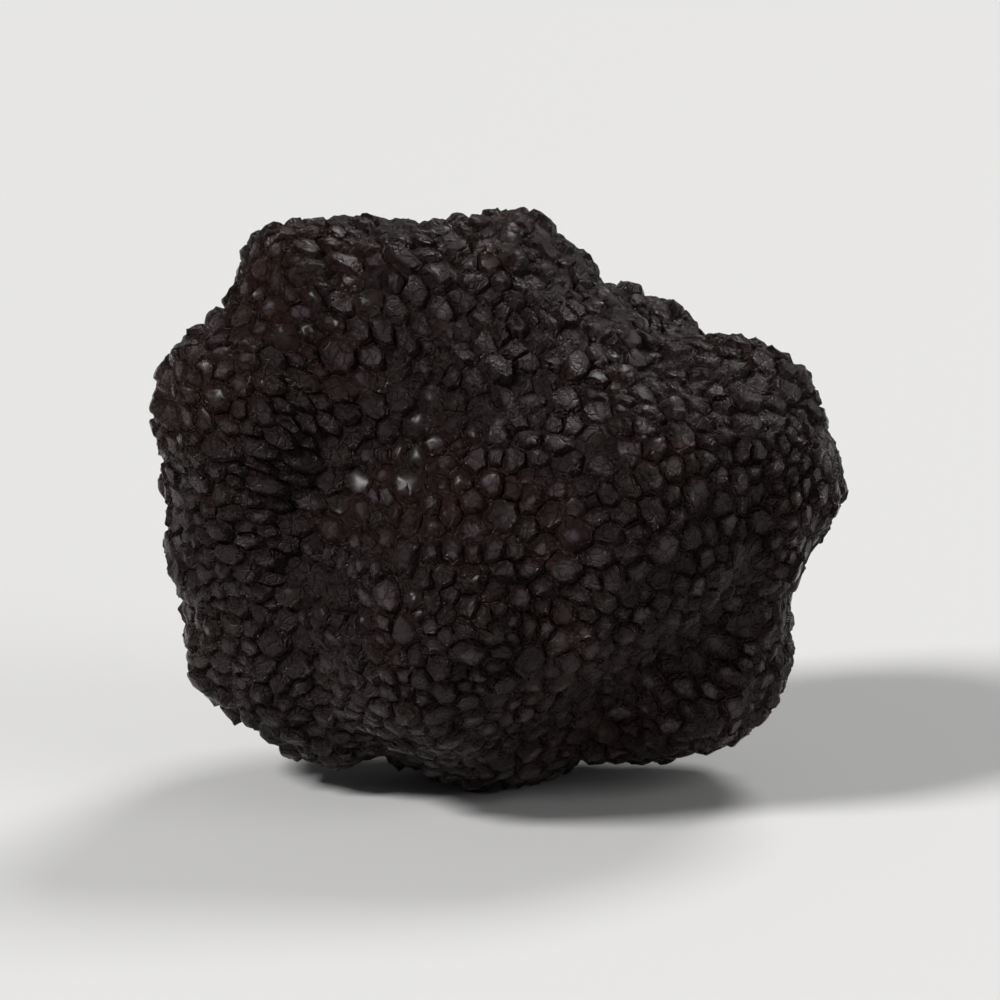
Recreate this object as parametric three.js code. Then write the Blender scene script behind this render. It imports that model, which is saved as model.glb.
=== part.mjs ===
// A whole black truffle. It grew as one piece: a knobbly body of swollen lobes,
// covered all over in low many-sided warts that meet along narrow furrows.
// Millimetres, +Z up. The origin is on the surface that the truffle rests on, under
// the middle of its outline. The side with the crown and the left shoulder faces -Y.

import * as THREE from 'three';
import { ConvexHull } from 'three/addons/math/ConvexHull.js';
import { SimplexNoise } from 'three/addons/math/SimplexNoise.js';

// Driving dimensions
const LENGTH = 58; // along X
const DEPTH = 47; // along Y
const HEIGHT = 48.5; // along Z, from the resting spot to the top of the crown
const REST_CUT = 1.5; // how far the lowest warts are pressed flat
const WART_RISE = 0.24; // height of a wart's top above the body's skin, as a share of its width
const WART_RISE_SPREAD = 0.3; // share by which warts of one width differ in height
const FURROW_DEPTH = 0.3; // from the body's skin down to the furrows
const LOBE_BLEND = 0.9; // how softly one lobe runs into the next

// The lobes, as balls about the middle of the body: centre and radius
const LOBES = {
  heart: { centre: [0, 0, 0], radius: 19.5 },
  crown_left: { centre: [-11.5, 0, 11.5], radius: 12.4 },
  crown_right: { centre: [-2, 1.5, 12], radius: 12.6 },
  crown_knob: { centre: [-17.8, -3, 18.2], radius: 6 },
  left_shoulder: { centre: [-20.6, -5, 10], radius: 9 },
  left_flank: { centre: [-19.2, -2, 0], radius: 10 },
  left_foot: { centre: [-15.5, 0.5, -9], radius: 11.8 },
  right_cheek: { centre: [17.2, -1.5, 3.5], radius: 11.6 },
  right_foot: { centre: [13, 1, -9.5], radius: 12.2 },
  base: { centre: [-1.5, 0.5, -11.4], radius: 12.6 },
  front_belly: { centre: [-4.5, -9, -4.5], radius: 13 },
  front_right: { centre: [8.5, -8.5, 2], radius: 12.4 },
  back_right: { centre: [7, 9, 4], radius: 13 },
  back_left: { centre: [-9.5, 9, -2.5], radius: 13 },
};

// The swells that make the lobes uneven: width across and height
const SWELLS = [
  { width: 15, height: 0.8 },
  { width: 7, height: 0.45 },
];

// Deep folds between the lobes and one small pit: a line along each, and its radius
const HOLLOWS = {
  crown_fold: { from: [9.5, -16, 17], to: [6.5, -2, 24.5], radius: 2.4 },
  front_fold: { from: [5, -21.5, 9], to: [1.5, -23, -13], radius: 2.1 },
  shoulder_fold: { from: [-15, -15, 16], to: [-14.5, -18.5, -3], radius: 2.1 },
  back_fold: { from: [-3, 20.5, 12], to: [0, 23, -10], radius: 2.4 },
  shoulder_notch: { from: [-26.5, -14, 19.5], to: [-25.5, 8, 20.5], radius: 1.6 },
  pit: { from: [22, -15, -11], to: [19, -13, -10], radius: 2.2 },
};
const HOLLOW_BLEND = 1.3; // how softly the skin rounds over into a hollow

// Widths of warts, and how many places each is tried in. The smallest fill what is left bare.
const WART_SIZES = [
  { width: 3.0, tries: 160 },
  { width: 2.4, tries: 500 },
  { width: 1.9, tries: 1400 },
  { width: 1.5, tries: 5000 },
  { width: 1.28, tries: 60000 },
];

const SEED = 41;
const CORNER_EVENNESS = 0.4; // 0 puts a furrow corner amid its three warts, 1 equally far from them

// How the skin is found: steps inwards from a start outside the body until it is close
const OUTSIDE = 45;
const SKIN_STEPS = 60;
const SKIN_STRIDE = 0.8; // share of the way to the skin in one step, so that none goes through it
const SKIN_CLOSE = 1e-5;
const SLOPE_REACH = 0.02; // distance over which the slope of the skin is measured

// A linear congruential generator: even random numbers from 0 to 1, the same from each seed
const RANDOM_FACTOR = 1664525;
const RANDOM_STEP = 1013904223;
const RANDOM_RANGE = 2 ** 32;

function randomSource(seed) {
  let state = seed;
  return () => {
    state = (Math.imul(state, RANDOM_FACTOR) + RANDOM_STEP) >>> 0;
    return state / RANDOM_RANGE;
  };
}

const random = randomSource(SEED);
const swellNoise = new SimplexNoise({ random });

const lobes = Object.values(LOBES).map(({ centre, radius }) => ({
  centre: new THREE.Vector3(...centre),
  radius,
}));
const hollows = Object.values(HOLLOWS).map(({ from, to, radius }) => ({
  line: new THREE.Line3(new THREE.Vector3(...from), new THREE.Vector3(...to)),
  radius,
}));

// The least of several distances, rounded off where two of them are alike
function softLeast(distances, blend) {
  const least = Math.min(...distances);
  const sum = distances.reduce((total, d) => total + Math.exp((least - d) / blend), 0);
  return least - blend * Math.log(sum);
}

// How far a point is outside the body's skin, before any warts: negative inside
function outside(point) {
  const fromLobes = lobes.map(({ centre, radius }) => point.distanceTo(centre) - radius);
  const swells = SWELLS.map(({ width, height }) => {
    const { x, y, z } = point.clone().divideScalar(width);
    return height * swellNoise.noise3d(x, y, z);
  });
  const swelled = swells.reduce((total, swell) => total + swell, softLeast(fromLobes, LOBE_BLEND));
  const fromHollows = hollows.map(({ line, radius }) => {
    const nearest = line.closestPointToPoint(point, true, new THREE.Vector3());
    return point.distanceTo(nearest) - radius;
  });
  return -softLeast([-swelled, ...fromHollows], HOLLOW_BLEND);
}

// The skin point that a straight line from the middle meets last on its way out
function skinAlong(direction) {
  const point = direction.clone().multiplyScalar(OUTSIDE);
  for (let step = 0; step < SKIN_STEPS; step++) {
    const gap = outside(point);
    point.addScaledVector(direction, -SKIN_STRIDE * gap);
    if (Math.abs(gap) < SKIN_CLOSE) break;
  }
  return point;
}

// The way straight out of the skin at a point of it
function outwardAt(point) {
  const slope = ['x', 'y', 'z'].map((axis) => {
    const ahead = point.clone();
    const behind = point.clone();
    ahead[axis] += SLOPE_REACH;
    behind[axis] -= SLOPE_REACH;
    return outside(ahead) - outside(behind);
  });
  return new THREE.Vector3(...slope).normalize();
}

function randomDirection() {
  const z = 2 * random() - 1;
  const turn = 2 * Math.PI * random();
  const across = Math.sqrt(1 - z * z);
  return new THREE.Vector3(across * Math.cos(turn), across * Math.sin(turn), z);
}

// Places for the warts' tops: tried at random, and kept where no other is too near
function wartPlaces() {
  const places = [];
  for (const { width, tries } of WART_SIZES) {
    for (let tried = 0; tried < tries; tried++) {
      const direction = randomDirection();
      const skin = skinAlong(direction);
      const free = places.every((other) => other.skin.distanceTo(skin) > (other.width + width) / 2);
      if (free) places.push({ direction, skin, width });
    }
  }
  return places;
}

// One wart is a fan of triangles from its top down to the furrow corners round it. A corner
// lies where three warts meet, which is a face of the hull round the warts' directions.
function wartedSkin() {
  const places = wartPlaces();
  const points = [];
  const indexOf = new Map();
  const addPoint = (key, skin, lift) => {
    indexOf.set(key, points.length);
    points.push(skin.clone().addScaledVector(outwardAt(skin), lift));
  };

  for (const { direction, skin, width } of places) {
    const spread = 1 + WART_RISE_SPREAD * (2 * random() - 1);
    addPoint(direction, skin, WART_RISE * width * spread);
  }
  const { faces } = new ConvexHull().setFromPoints(places.map(({ direction }) => direction));
  for (const face of faces) {
    const direction = face.midpoint.clone().normalize().lerp(face.normal, CORNER_EVENNESS).normalize();
    addPoint(face, skinAlong(direction), -FURROW_DEPTH);
  }

  const index = [];
  for (const face of faces) {
    let edge = face.edge;
    do {
      index.push(indexOf.get(edge.tail().point), indexOf.get(edge.twin.face), indexOf.get(face));
      edge = edge.next;
    } while (edge !== face.edge);
  }
  return new THREE.BufferGeometry().setFromPoints(points).setIndex(index);
}

// Brings the body to its driving dimensions and presses its lowest warts flat
function settle(geometry) {
  geometry.computeBoundingBox();
  const { min, max } = geometry.boundingBox;
  const size = max.clone().sub(min);
  geometry.translate(-(min.x + max.x) / 2, -(min.y + max.y) / 2, -min.z);
  geometry.scale(LENGTH / size.x, DEPTH / size.y, (HEIGHT + REST_CUT) / size.z);
  geometry.translate(0, 0, -REST_CUT);
  const position = geometry.getAttribute('position');
  for (let i = 0; i < position.count; i++) position.setZ(i, Math.max(position.getZ(i), 0));
  return geometry;
}

function makeTruffle() {
  const skin = new THREE.MeshStandardMaterial({ color: 0x1b1619, roughness: 0.5, metalness: 0 });
  const truffle = new THREE.Mesh(settle(wartedSkin()), skin);
  truffle.name = 'truffle';
  return truffle;
}

const part = new THREE.Group();
part.add(makeTruffle());

export default part;
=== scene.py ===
import math
import random

import bpy
from bpy.props import FloatProperty, FloatVectorProperty, IntProperty, PointerProperty
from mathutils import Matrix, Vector, noise


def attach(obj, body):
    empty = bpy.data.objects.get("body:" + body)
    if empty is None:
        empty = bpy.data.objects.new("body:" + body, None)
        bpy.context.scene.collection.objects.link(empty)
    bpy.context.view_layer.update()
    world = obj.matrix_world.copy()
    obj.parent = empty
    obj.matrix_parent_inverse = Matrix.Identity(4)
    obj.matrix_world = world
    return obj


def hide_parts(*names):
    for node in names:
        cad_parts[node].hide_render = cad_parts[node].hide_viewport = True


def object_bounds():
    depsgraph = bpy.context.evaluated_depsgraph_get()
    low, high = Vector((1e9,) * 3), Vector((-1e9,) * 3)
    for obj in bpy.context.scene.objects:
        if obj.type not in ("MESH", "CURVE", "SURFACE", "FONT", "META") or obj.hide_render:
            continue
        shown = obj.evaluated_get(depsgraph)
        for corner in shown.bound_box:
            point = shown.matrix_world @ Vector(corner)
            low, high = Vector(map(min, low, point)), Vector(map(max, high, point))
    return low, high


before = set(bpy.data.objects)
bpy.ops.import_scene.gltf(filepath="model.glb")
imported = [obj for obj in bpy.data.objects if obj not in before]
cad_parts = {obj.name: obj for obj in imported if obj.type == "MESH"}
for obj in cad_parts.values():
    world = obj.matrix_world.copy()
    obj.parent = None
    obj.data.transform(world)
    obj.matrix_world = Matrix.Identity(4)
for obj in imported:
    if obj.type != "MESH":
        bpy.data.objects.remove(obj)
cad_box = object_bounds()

bl_info = {
    "name": "Black truffle",
    "version": (1, 0, 0),
    "blender": (4, 5, 0),
    "location": "View3D > Sidebar > Truffle",
    "description": "A warty black truffle and the small studio it is shown in",
    "category": "Add Mesh",
}

PIECE = "truffle_skin"
MM = 0.001
SEED = 7
TOUCHING = 0.001 * MM  # points this close are one point, or lie on the floor
REST_BAND = 0.4 * MM  # points this close above the floor aren't moved when warts are evened out
CREASE = math.radians(32)  # edges that bend more than this stay sharp

# Warts whose furthest furrow corner is this many times as far from the top as the nearest
# are left alone, or evened out in full. In between, they are evened out in part.
ROUND = 1.6
STRETCHED = 2.1
EVEN_SHARE = 0.5  # the share of the way to its even place that a point moves in one pass
EVEN_PASSES = 7

# Each point has a share of its wart's top: 0 in the furrow, 1 at the top
IN_FURROW = 0.01
AT_TOP = 0.99
CORNER_EDGES = 6  # edges that meet at a furrow corner of the plain body

FINE_WAVER = 0.4  # height and width of the finer wavering, as shares of the wider one's
GRIT_LAYERS = 3
GRIT_STEP = 2.1  # how many times finer each layer of grit is than the one before
GRIT_FALL = 0.35  # how fast the layers get lower, where 0 is not at all
KNOB_EDGE = 0.4  # a knob slopes down where the next one is less than this many widths further
FUSE_START = 0.05  # furrows are fused where the noise is above this
FUSE_FADE = 2  # powers by which fusing and the deeper furrow fade up a wart's flank
FURROW_FADE = 6
TINT_RISE = 3  # a wart's tint grows this many times as fast as the share, to its full strength

# Widths of what varies over the skin
PATCH_WIDTH = 14 * MM
BLOTCH_WIDTH = 2.6 * MM
GRAIN_WIDTH = 0.45 * MM
FIBRE_WIDTH = 0.22 * MM
CRACK_SPACING = 1.0 * MM
STRAY_WIDTH = 0.8 * MM
STRAY = 0.7 * MM  # how far the cracks stray from straight lines
RELIEF = 0.45 * MM  # height of the grain, fibres and cracks, which only the light shows

SENSOR_WIDTH = 36  # millimetres
NEAREST_SEEN = 0.01  # metres
FLOOR_SIZE = 6  # metres


class TruffleSkinSettings(bpy.types.PropertyGroup):
    """Sizes and colours of the truffle's warty skin"""

    cuts: IntProperty(
        name="Cuts",
        description="How many cuts split each edge of the plain body",
        default=3,
        min=1,
        max=3,
    )
    rim: FloatProperty(
        name="Wart rim",
        description="Where a wart's flank ends and its worn top starts: 0 at the furrow, 1 at the tip",
        default=0.50,
        min=0.2,
        max=1,
        subtype="FACTOR",
    )
    rim_spread: FloatProperty(
        name="Rim spread",
        description="How much that differs from wart to wart",
        default=0.16,
        min=0,
        max=1,
        subtype="FACTOR",
    )
    tip: FloatProperty(
        name="Tip",
        description="How far a wart's tip stands above or below its rim, as a share of its height",
        default=0.22,
        min=0,
        max=1,
        subtype="FACTOR",
    )
    squat: FloatProperty(
        name="Height",
        description="Height of the highest warts, as a share of their height in the plain body",
        default=0.96,
        min=0,
        soft_max=1,
        subtype="FACTOR",
    )
    squat_spread: FloatProperty(
        name="Height spread",
        description="How much lower the lowest warts are, as a share of the same height",
        default=0.46,
        min=0,
        max=1,
        subtype="FACTOR",
    )
    tilt: FloatProperty(
        name="Tilt",
        description="How steeply the worn tops of the warts lean",
        default=0.25,
        min=0,
        max=1,
        subtype="FACTOR",
    )
    most_tilt: FloatProperty(
        name="Most tilt",
        description="How far a leaning top may rise or sink at its rim, as a share of the wart's height",
        default=0.35,
        min=0,
        max=1,
        subtype="FACTOR",
    )
    furrow: FloatProperty(
        name="Furrow",
        description="How much deeper the furrows are cut than in the plain body",
        default=0.10 * MM,
        min=0,
        soft_max=1 * MM,
        subtype="DISTANCE",
        unit="LENGTH",
        precision=6,
    )
    fuse: FloatProperty(
        name="Fused furrows",
        description="How much of their depth the furrows lose where neighbouring warts run together",
        default=0.8 * MM,
        min=0,
        soft_max=2 * MM,
        subtype="DISTANCE",
        unit="LENGTH",
        precision=6,
    )
    fuse_width: FloatProperty(
        name="Fused width",
        description="Width of the places where warts run together",
        default=2.2 * MM,
        min=0.1 * MM,
        subtype="DISTANCE",
        unit="LENGTH",
        precision=6,
    )
    waver: FloatProperty(
        name="Furrow waver",
        description="How far the furrows stray from straight lines",
        default=0.22 * MM,
        min=0,
        soft_max=1 * MM,
        subtype="DISTANCE",
        unit="LENGTH",
        precision=6,
    )
    waver_width: FloatProperty(
        name="Waver width",
        description="Width of the wavering",
        default=1.1 * MM,
        min=0.1 * MM,
        subtype="DISTANCE",
        unit="LENGTH",
        precision=6,
    )
    knob: FloatProperty(
        name="Knobs",
        description="Height of the small knobs that the warts are made up of",
        default=0.14 * MM,
        min=0,
        soft_max=0.5 * MM,
        subtype="DISTANCE",
        unit="LENGTH",
        precision=6,
    )
    knob_width: FloatProperty(
        name="Knob width",
        description="Width of the small knobs that the warts are made up of",
        default=1.05 * MM,
        min=0.1 * MM,
        subtype="DISTANCE",
        unit="LENGTH",
        precision=6,
    )
    grit: FloatProperty(
        name="Grit",
        description="Height of the small lumps on the warts",
        default=0.13 * MM,
        min=0,
        soft_max=0.5 * MM,
        subtype="DISTANCE",
        unit="LENGTH",
        precision=6,
    )
    grit_width: FloatProperty(
        name="Grit width",
        description="Width of the small lumps on the warts",
        default=0.7 * MM,
        min=0.1 * MM,
        subtype="DISTANCE",
        unit="LENGTH",
        precision=6,
    )
    rib: FloatProperty(
        name="Ribs",
        description="Height of the ribs that run down the warts' flanks",
        default=0.12 * MM,
        min=0,
        soft_max=0.5 * MM,
        subtype="DISTANCE",
        unit="LENGTH",
        precision=6,
    )
    rib_width: FloatProperty(
        name="Rib width",
        description="Width of the ribs where they meet the furrow",
        default=0.45 * MM,
        min=0.1 * MM,
        subtype="DISTANCE",
        unit="LENGTH",
        precision=6,
    )
    skin_colour: FloatVectorProperty(
        name="Skin",
        description="The black of the warts",
        default=(0.0072, 0.0036, 0.0036),
        min=0,
        max=1,
        subtype="COLOR",
    )
    rust_colour: FloatVectorProperty(
        name="Rust",
        description="The reddish brown of some patches and of the furrows",
        default=(0.0230, 0.0080, 0.0055),
        min=0,
        max=1,
        subtype="COLOR",
    )
    # Partly real wear, partly painted sheen: rubbed wart tops are lightened towards this violet grey
    worn_and_sheen_colour: FloatVectorProperty(
        name="Worn tips",
        description="The violet grey of wart tops that have been rubbed",
        default=(0.050, 0.037, 0.043),
        min=0,
        max=1,
        subtype="COLOR",
    )
    # Painted shade: the skin's colour is darkened towards this black in the furrows and cracks
    painted_shade_colour: FloatVectorProperty(
        name="Hollows",
        description="The black that furrows and cracks run to",
        default=(0.0025, 0.0018, 0.0017),
        min=0,
        max=1,
        subtype="COLOR",
    )
    gloss_tint: FloatVectorProperty(
        name="Gloss",
        description="The tint of the light that the skin mirrors head on",
        default=(1.0, 0.80, 0.77),
        min=0,
        max=1,
        subtype="COLOR",
    )


class TruffleStudioSettings(bpy.types.PropertyGroup):
    """Floor, lights and camera"""

    floor_colour: FloatVectorProperty(
        name="Floor",
        description="Colour of the plain floor",
        default=(0.58, 0.575, 0.57),
        min=0,
        max=1,
        subtype="COLOR",
    )
    sky: FloatProperty(
        name="Sky",
        description="Strength of the even light from all round",
        default=0.12,
        min=0,
        soft_max=1,
        subtype="FACTOR",
    )
    camera_distance: FloatProperty(
        name="Camera distance",
        description="From the camera to the middle of the truffle",
        default=0.66,
        min=0.1,
        subtype="DISTANCE",
        unit="LENGTH",
    )
    camera_height: FloatProperty(
        name="Camera angle",
        description="How far above level the camera looks down from",
        default=math.radians(13),
        subtype="ANGLE",
        unit="ROTATION",
    )
    lens: FloatProperty(
        name="Lens",
        description="Focal length of the camera in millimetres",
        default=285,
        min=20,
        subtype="DISTANCE_CAMERA",
    )


def deselect_all():
    """Leaves nothing selected"""
    for thing in bpy.context.selected_objects:
        thing.select_set(False)


def pick(thing):
    """Selects one object alone and makes it the active one"""
    deselect_all()
    thing.select_set(True)
    bpy.context.view_layer.objects.active = thing


def edit_all(piece, operator, **options):
    """Runs one edit mode operator on the whole of a piece"""
    pick(piece)
    bpy.ops.object.mode_set(mode="EDIT")
    bpy.ops.mesh.select_all(action="SELECT")
    operator(**options)
    bpy.ops.object.mode_set(mode="OBJECT")


# The truffle


def copy_of_body():
    """The plain body's mesh as a new object, with the corners of its triangles merged"""
    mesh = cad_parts["truffle"].data.copy()
    mesh.name = PIECE
    piece = bpy.data.objects.new(PIECE, mesh)
    bpy.context.scene.collection.objects.link(piece)
    pick(piece)
    bpy.ops.mesh.customdata_custom_splitnormals_clear()
    edit_all(piece, bpy.ops.mesh.remove_doubles, threshold=TOUCHING)
    return piece


def find_tops(mesh):
    """Each triangle runs from one wart's top to two furrow corners. A furrow corner always
    has six edges, so a point with another number is a top, and the rest follows from it."""
    edge_count = [0] * len(mesh.vertices)
    for edge in mesh.edges:
        for point in edge.vertices:
            edge_count[point] += 1
    faces_at = {}
    for face in mesh.polygons:
        for pair in face.edge_keys:
            faces_at.setdefault(pair, []).append(face)
    sure = {point for point, count in enumerate(edge_count) if count != CORNER_EDGES}
    first = next(face for face in mesh.polygons if any(p in sure for p in face.vertices))
    tops = {next(p for p in first.vertices if p in sure)}
    seen = {first.index}
    waiting = [first]
    while waiting:
        face = waiting.pop()
        top = next(p for p in face.vertices if p in tops)
        for pair in face.edge_keys:
            for other in faces_at[pair]:
                if other.index in seen:
                    continue
                seen.add(other.index)
                waiting.append(other)
                if top not in pair:
                    tops.add(next(p for p in other.vertices if p not in pair))
    return tops


def even_out(mesh, tops):
    """Slides the points of the warts that lie stretched down the wall of a fold along the skin,
    to the middle of the furrow corners round them. The resting spot stays flat."""
    around = {point.index: [] for point in mesh.vertices}
    for edge in mesh.edges:
        a, b = edge.vertices
        around[a].append(b)
        around[b].append(a)
    for _ in range(EVEN_PASSES):
        places = [point.co.copy() for point in mesh.vertices]
        normals = [point.normal.copy() for point in mesh.vertices]
        pull = [0] * len(places)
        for top in tops:
            lengths = [(places[corner] - places[top]).length for corner in around[top]]
            stretch = (max(lengths) / min(lengths) - ROUND) / (STRETCHED - ROUND)
            for point in (top, *around[top]):
                pull[point] = min(max(stretch, pull[point]), 1)
        for point in mesh.vertices:
            if point.co.z > REST_BAND:
                corners = [places[near] for near in around[point.index] if near not in tops]
                slide = sum(corners, Vector()) / len(corners) - point.co
                slide -= normals[point.index] * slide.dot(normals[point.index])
                point.co += EVEN_SHARE * pull[point.index] * slide
        mesh.update()


def mark_warts(piece):
    """Notes on the plain body what the finer one needs: at each point, how much of a wart's top
    it is, where that top is, how high it stands above its furrows, three random numbers of the
    wart, and which way is out. They are all 0 at the furrows, apart from the last, and
    subdividing blends them evenly in between."""
    mesh = piece.data
    draw = random.Random(SEED)
    tops = find_tops(mesh)
    even_out(mesh, tops)
    around = [Vector() for _ in mesh.vertices]
    heights = [[] for _ in mesh.vertices]
    for edge in mesh.edges:
        for here, there in (edge.vertices, reversed(edge.vertices)):
            around[here] += mesh.vertices[there].normal
            step = mesh.vertices[here].co - mesh.vertices[there].co
            heights[here].append(step.dot(mesh.vertices[here].normal))
    for name in ("top_share", "top_rise"):
        mesh.attributes.new(name, "FLOAT", "POINT")
    for name in ("top_place", "luck", "out"):
        mesh.attributes.new(name, "FLOAT_VECTOR", "POINT")
    share, rise, place, luck, out = (
        mesh.attributes[name].data for name in ("top_share", "top_rise", "top_place", "luck", "out")
    )
    for point in mesh.vertices:
        out[point.index].vector = (point.normal + around[point.index]).normalized()
        if point.index in tops:
            share[point.index].value = 1
            rise[point.index].value = sum(heights[point.index]) / len(heights[point.index])
            place[point.index].vector = point.co
            luck[point.index].vector = [draw.random() for _ in range(3)]


def wart_section(share, rim, tip):
    """Half a section through a wart, from the furrow to the tip: for the share of the way at
    which a ring of points lies, the share to which it slides and its height there. The rings
    crowd at the foot and at the rim, which keeps both crisp."""
    section = (
        (0, 0, 0),
        (0.25, 0.15, 0.36),
        (0.5, rim - 0.1, 0.86),
        (0.75, rim + 0.07, 1),
        (1, 1, tip),
    )
    for (low, *inner), (high, *outer) in zip(section, section[1:]):
        if share <= high:
            along = (share - low) / (high - low)
            return (a + along * (b - a) for a, b in zip(inner, outer))
    return 1, tip


def worn_down(start, share, at_foot, top, rise, chance, outward, skin):
    """Where a point on the flank of a pyramid lies once the wart is worn"""
    rim = skin.rim + skin.rim_spread * (2 * chance.x - 1)
    tip = 1 + skin.tip * (2 * chance.z - 1)
    squat = skin.squat - skin.squat_spread * chance.y
    along, height = wart_section(share, rim, tip)
    lean = 2 * chance - Vector((1, 1, 1))
    place = start + (along - share) * (top - at_foot)
    tilt = skin.tilt * lean.dot(place - top) * min(1, along / rim)
    most = skin.most_tilt * abs(rise)
    tilt = min(max(tilt, -most), most)
    return place + outward * (rise * (squat * height - along) + tilt)


def roughened(place, share, at_foot, outward, skin):
    """Where it lies once the furrows waver and partly fuse, with knobs, grit and ribs"""
    sideways = noise.noise_vector(place / skin.waver_width)
    sideways += FINE_WAVER * noise.noise_vector(place / (FINE_WAVER * skin.waver_width))
    sideways -= outward * sideways.dot(outward)
    lump = noise.fractal(place / skin.grit_width, GRIT_FALL, GRIT_STEP, GRIT_LAYERS)
    nearest, second = noise.voronoi(place / skin.knob_width)[0][:2]
    knob = min(1, (second - nearest) / KNOB_EDGE) - 0.5
    rib = noise.noise(at_foot / skin.rib_width) * math.sin(math.pi * share)
    fused = max(0, noise.noise(at_foot / skin.fuse_width) - FUSE_START) * (1 - share) ** FUSE_FADE
    fine = skin.grit * lump + skin.knob * knob + skin.rib * rib
    deeper = skin.furrow * (1 - share) ** FURROW_FADE
    strayed = place + sideways * skin.waver
    return strayed + outward * (fine + skin.fuse * fused - deeper)


def shape_warts(piece, skin):
    """Turns the pyramids into worn warts with wavering furrows, tilted tops and small lumps"""
    noise.seed_set(SEED)  # unseeded, noise_vector gives other values in each run of Blender
    mesh = piece.data
    mesh.attributes.new("tint", "FLOAT", "POINT")
    mesh.attributes.new("foot", "FLOAT_VECTOR", "POINT")
    shares, rises, tops, luck, out, tint, foot = (
        mesh.attributes[name].data
        for name in ("top_share", "top_rise", "top_place", "luck", "out", "tint", "foot")
    )
    for point in mesh.vertices:
        share = shares[point.index].value
        outward = out[point.index].vector.normalized()
        start = point.co.copy()
        place = start
        at_foot = start
        chance = Vector((0.5, 0.5, 0.5))
        if share > IN_FURROW:
            top = tops[point.index].vector / share
            chance = luck[point.index].vector / share
            rise = rises[point.index].value / share
            if share < AT_TOP:
                at_foot = (start - share * top) / (1 - share)
            place = worn_down(start, share, at_foot, top, rise, chance, outward, skin)
        tint[point.index].value = 0.5 + (chance.z - 0.5) * min(1, TINT_RISE * share)
        foot[point.index].vector = at_foot
        place = roughened(place, share, at_foot, outward, skin)
        place.z = 0 if start.z < TOUCHING else max(place.z, 0)
        point.co = place


def make_truffle(skin):
    """Makes the dressed truffle from the plain body"""
    piece = copy_of_body()
    mark_warts(piece)
    edit_all(piece, bpy.ops.mesh.subdivide, number_cuts=skin.cuts)
    shape_warts(piece, skin)
    bpy.ops.object.shade_smooth_by_angle(angle=CREASE)
    piece.data.materials.clear()
    piece.data.materials.append(skin_material(skin))
    return piece


# Materials


class Number:
    """A number that varies over a surface. Python's own signs add the Math nodes."""

    def __init__(self, work, socket):
        self.work = work
        self.socket = socket

    def __add__(self, other):
        return self.work.maths("ADD", self, other)

    def __sub__(self, other):
        return self.work.maths("SUBTRACT", self, other)

    def __rsub__(self, other):
        return self.work.maths("SUBTRACT", other, self)

    def __mul__(self, other):
        return self.work.maths("MULTIPLY", self, other)

    __radd__ = __add__
    __rmul__ = __mul__


class Surface:
    """One material with its nodes"""

    def __init__(self, name):
        self.material = bpy.data.materials.new(name)
        self.material.use_nodes = True
        self.tree = self.material.node_tree
        self.shader = self.tree.nodes["Principled BSDF"]

    def node(self, kind, settings=None, **sockets):
        """Adds a node: its settings first, then the values or links of its sockets by name"""
        made = self.tree.nodes.new(kind)
        for name, value in (settings or {}).items():
            setattr(made, name, value)
        for name, value in sockets.items():
            self.put(made.inputs[self.socket_named(made, name)], value)
        return made

    def socket_named(self, made, name):
        """Which input a name means. Inputs that share a name are input_0, input_1 and so on."""
        wanted = name.replace("_", " ").lower()
        if wanted.startswith("input "):
            return int(wanted.split()[1])
        shown = [i for i, socket in enumerate(made.inputs) if socket.enabled]
        return next(i for i in shown if made.inputs[i].name.lower() == wanted)

    def put(self, socket, value):
        """Links an input, or sets its value"""
        if isinstance(value, Number):
            value = value.socket
        if isinstance(value, bpy.types.NodeSocket):
            self.tree.links.new(value, socket)
        elif socket.type == "RGBA":
            socket.default_value = (*value, 1)
        else:
            socket.default_value = value

    def maths(self, operation, first, second):
        """Adds a Math node"""
        made = self.node(
            "ShaderNodeMath", {"operation": operation}, input_0=first, input_1=second
        )
        return Number(self, made.outputs[0])

    def attribute(self, name, output="Fac"):
        """What the modelling noted at each point under one name"""
        made = self.node("ShaderNodeAttribute", {"attribute_name": name})
        return made.outputs[output]

    def fade(self, value, low, high):
        """0 below low, 1 above high and a soft step between"""
        made = self.node(
            "ShaderNodeMapRange",
            {"interpolation_type": "SMOOTHSTEP"},
            value=value,
            from_min=low,
            from_max=high,
        )
        return Number(self, made.outputs[0])

    def noise(self, where, width, detail=2, roughness=0.5):
        """Soft noise with lumps of about one width"""
        made = self.node(
            "ShaderNodeTexNoise", vector=where, scale=1 / width, detail=detail, roughness=roughness
        )
        return Number(self, made.outputs["Fac"])

    def distance_to_crack(self, where):
        """How far it is to the nearest crack, in crack spacings"""
        stray = self.node("ShaderNodeTexNoise", vector=where, scale=1 / STRAY_WIDTH)
        astray = self.node(
            "ShaderNodeVectorMath",
            {"operation": "MULTIPLY_ADD"},
            input_0=stray.outputs["Color"],
            input_1=(STRAY, STRAY, STRAY),
            input_2=where,
        )
        cells = self.node(
            "ShaderNodeTexVoronoi",
            {"feature": "DISTANCE_TO_EDGE"},
            vector=astray.outputs["Vector"],
            scale=1 / CRACK_SPACING,
        )
        return Number(self, cells.outputs["Distance"])

    def mix(self, factor, first, second):
        """The colour that lies this share of the way from the first to the second"""
        made = self.node(
            "ShaderNodeMix", {"data_type": "RGBA"}, factor=factor, a=first, b=second
        )
        return made.outputs[2]

    def set(self, **sockets):
        """Links or sets inputs of the material's shader by name"""
        for name, value in sockets.items():
            self.put(self.shader.inputs[name.replace("_", " ")], value)


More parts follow.
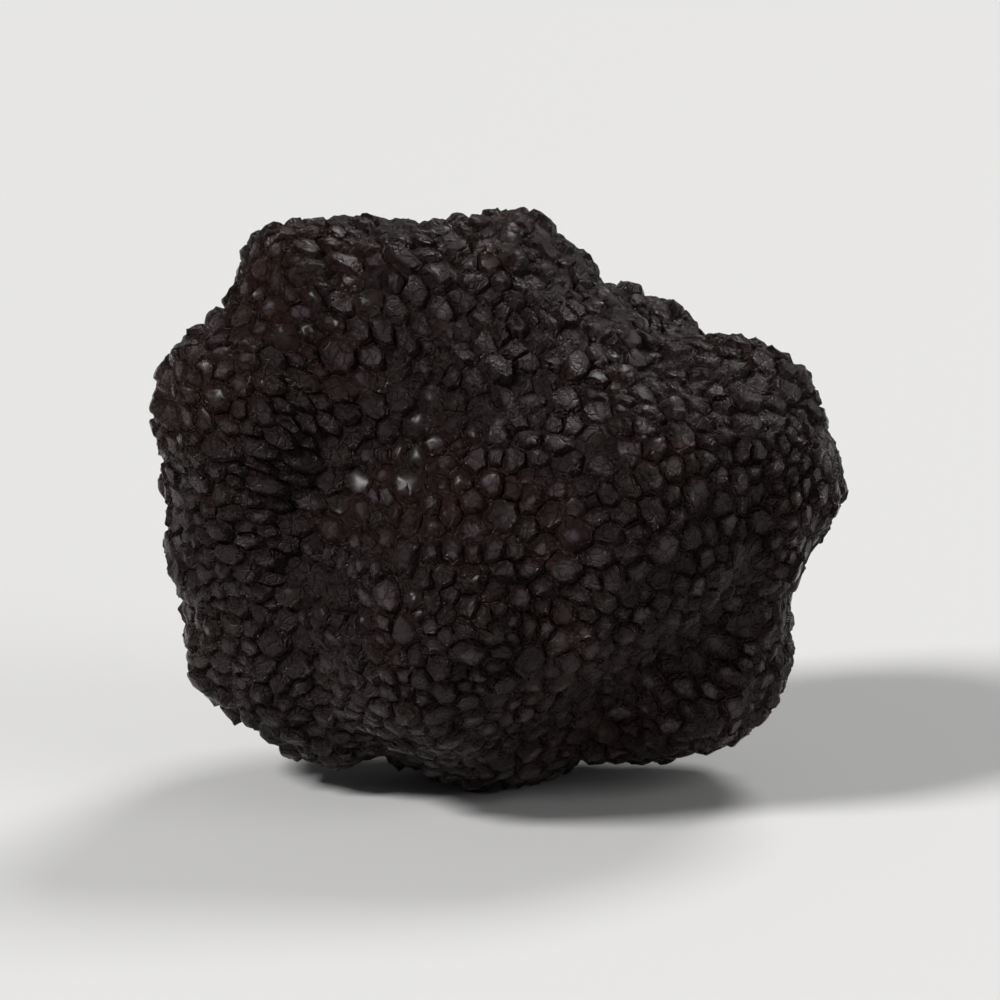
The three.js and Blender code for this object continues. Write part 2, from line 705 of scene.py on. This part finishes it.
def skin_material(skin):
    """Near-black skin: rusty patches, rubbed tops that are also lightened as painted sheen, wet gloss,
    and furrows and fine cracks darkened as painted shade
    """
    surface = Surface("truffle_warty_skin")
    here = surface.node("ShaderNodeTexCoord").outputs["Object"]
    height = Number(surface, surface.attribute("top_share"))
    tint = Number(surface, surface.attribute("tint"))
    foot = surface.attribute("foot", "Vector")

    patches = surface.noise(here, PATCH_WIDTH, detail=3, roughness=0.6)
    blotches = surface.noise(here, BLOTCH_WIDTH, detail=3, roughness=0.6)
    grain = surface.noise(here, GRAIN_WIDTH, detail=5, roughness=0.7)
    fibres = surface.noise(foot, FIBRE_WIDTH)

    in_furrow = 1 - surface.fade(height, 0.02, 0.22)
    in_crack = 1 - surface.fade(surface.distance_to_crack(here), 0.01, 0.13)
    on_top = surface.fade(height, 0.45, 0.95)
    wet = surface.fade(0.6 * patches + 0.4 * blotches, 0.42, 0.60)
    rust = surface.fade(patches + 0.35 * in_furrow + 0.25 * (blotches - 0.5), 0.50, 0.78)
    # Rubbed wart tops, lightened partly as real wear and partly as painted sheen
    wear_and_sheen = on_top * surface.fade(
        0.6 * blotches + 0.4 * patches + 0.5 * (tint - 0.5) + 0.3 * (grain - 0.5), 0.48, 0.74
    )
    black = surface.mix(0.85 * rust, skin.skin_colour, skin.rust_colour)
    colour = surface.mix(0.8 * wear_and_sheen, black, skin.worn_and_sheen_colour)
    # Painted shade: how far the furrows and cracks are darkened towards that black
    painted_furrow_shade = 1 - (1 - 0.8 * in_furrow) * (1 - 0.5 * in_crack)

    flank_fibres = fibres * (1 - on_top)
    relief = grain + 0.9 * flank_fibres - 0.4 * in_crack
    bump = surface.node("ShaderNodeBump", strength=1, distance=RELIEF, height=relief)

    surface.set(
        Base_Color=surface.mix(painted_furrow_shade, colour, skin.painted_shade_colour),
        Roughness=0.42 - 0.29 * wet + 0.20 * in_furrow - 0.16 * (tint - 0.5) + 0.3 * (grain - 0.5),
        Normal=bump.outputs["Normal"],
        Coat_Weight=0.22 * wet * on_top,
        Coat_Roughness=0.27,
        IOR=1.36,
        Specular_IOR_Level=0.5,
        Specular_Tint=skin.gloss_tint,
    )
    return surface.material


class TRUFFLE_OT_add_truffle(bpy.types.Operator):
    """Add the warty truffle in the place of the plain body"""

    bl_idname = "truffle.add_truffle"
    bl_label = "Add Truffle"

    def execute(self, context):
        piece = make_truffle(context.scene.truffle_skin)
        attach(piece, "root")
        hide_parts("truffle")
        return {"FINISHED"}


# Floor, lights and camera


def floor_material(studio):
    """A plain, dull floor of one colour"""
    surface = Surface("studio_floor")
    surface.set(Base_Color=studio.floor_colour, Roughness=0.7)
    return surface.material


def add_floor(studio):
    """Adds the floor that the truffle rests on"""
    deselect_all()
    bpy.ops.mesh.primitive_plane_add(size=FLOOR_SIZE)
    floor = bpy.context.object
    floor.name = "studio_floor"
    floor.data.materials.append(floor_material(studio))


def add_light(name, azimuth, height, width, strength):
    """A far, soft light: azimuth and height say where it stands, in degrees, as seen from the truffle.
    Azimuth 0 is the camera's side and 90 the camera's right. Width is how wide it looks."""
    turn, lift = math.radians(azimuth), math.radians(height)
    towards = Vector(
        (math.sin(turn) * math.cos(lift), -math.cos(turn) * math.cos(lift), math.sin(lift))
    )
    deselect_all()
    bpy.ops.object.light_add(type="SUN", location=towards)
    light = bpy.context.object
    light.name = name
    light.data.angle = math.radians(width)
    light.data.energy = strength
    light.rotation_euler = (-towards).to_track_quat("-Z", "Y").to_euler()


def add_camera(studio, target):
    """Adds the camera in front of the truffle, looking slightly down at it"""
    reach = Vector((0, -math.cos(studio.camera_height), math.sin(studio.camera_height)))
    deselect_all()
    bpy.ops.object.camera_add(location=target + reach * studio.camera_distance)
    camera = bpy.context.object
    camera.name = "studio_camera"
    camera.rotation_euler = (-reach).to_track_quat("-Z", "Y").to_euler()
    camera.data.lens = studio.lens
    camera.data.sensor_width = SENSOR_WIDTH
    camera.data.clip_start = NEAREST_SEEN
    bpy.context.scene.camera = camera


def add_world(studio):
    """Adds an even white light from all round"""
    world = bpy.data.worlds.new("studio_light")
    bpy.context.scene.world = world
    world.use_nodes = True
    background = world.node_tree.nodes["Background"]
    background.inputs["Color"].default_value = (1.0, 1.0, 1.0, 1)
    background.inputs["Strength"].default_value = studio.sky
    bpy.context.scene.view_settings.view_transform = "Standard"


class TRUFFLE_OT_set_studio(bpy.types.Operator):
    """Set up the pale floor, the soft lights and the camera"""

    bl_idname = "truffle.set_studio"
    bl_label = "Set Studio"

    def execute(self, context):
        studio = context.scene.truffle_studio
        low, high = cad_box
        middle = (Vector(low) + Vector(high)) / 2
        add_floor(studio)
        add_world(studio)
        add_light("window_left", azimuth=-58, height=42, width=14, strength=3.5)
        add_light("window_back", azimuth=150, height=48, width=22, strength=1.7)
        add_light("fill_right", azimuth=55, height=30, width=40, strength=0.8)
        add_camera(studio, middle)
        return {"FINISHED"}


class VIEW3D_PT_truffle(bpy.types.Panel):
    """The settings of the truffle and the studio, each with the button that uses them"""

    bl_label = "Truffle"
    bl_space_type = "VIEW_3D"
    bl_region_type = "UI"
    bl_category = "Truffle"

    def draw(self, context):
        layout = self.layout
        for operator, settings in (
            (TRUFFLE_OT_add_truffle, context.scene.truffle_skin),
            (TRUFFLE_OT_set_studio, context.scene.truffle_studio),
        ):
            for name in settings.__annotations__:
                layout.prop(settings, name)
            layout.operator(operator.bl_idname)


CLASSES = (
    TruffleSkinSettings,
    TruffleStudioSettings,
    TRUFFLE_OT_add_truffle,
    TRUFFLE_OT_set_studio,
    VIEW3D_PT_truffle,
)


def register():
    for each in CLASSES:
        bpy.utils.register_class(each)
    bpy.types.Scene.truffle_skin = PointerProperty(type=TruffleSkinSettings)
    bpy.types.Scene.truffle_studio = PointerProperty(type=TruffleStudioSettings)


def unregister():
    del bpy.types.Scene.truffle_studio
    del bpy.types.Scene.truffle_skin
    for each in reversed(CLASSES):
        bpy.utils.unregister_class(each)


def main():
    register()
    bpy.ops.truffle.add_truffle()
    bpy.ops.truffle.set_studio()
    bpy.context.view_layer.update()


if __name__ == "__main__":
    main()
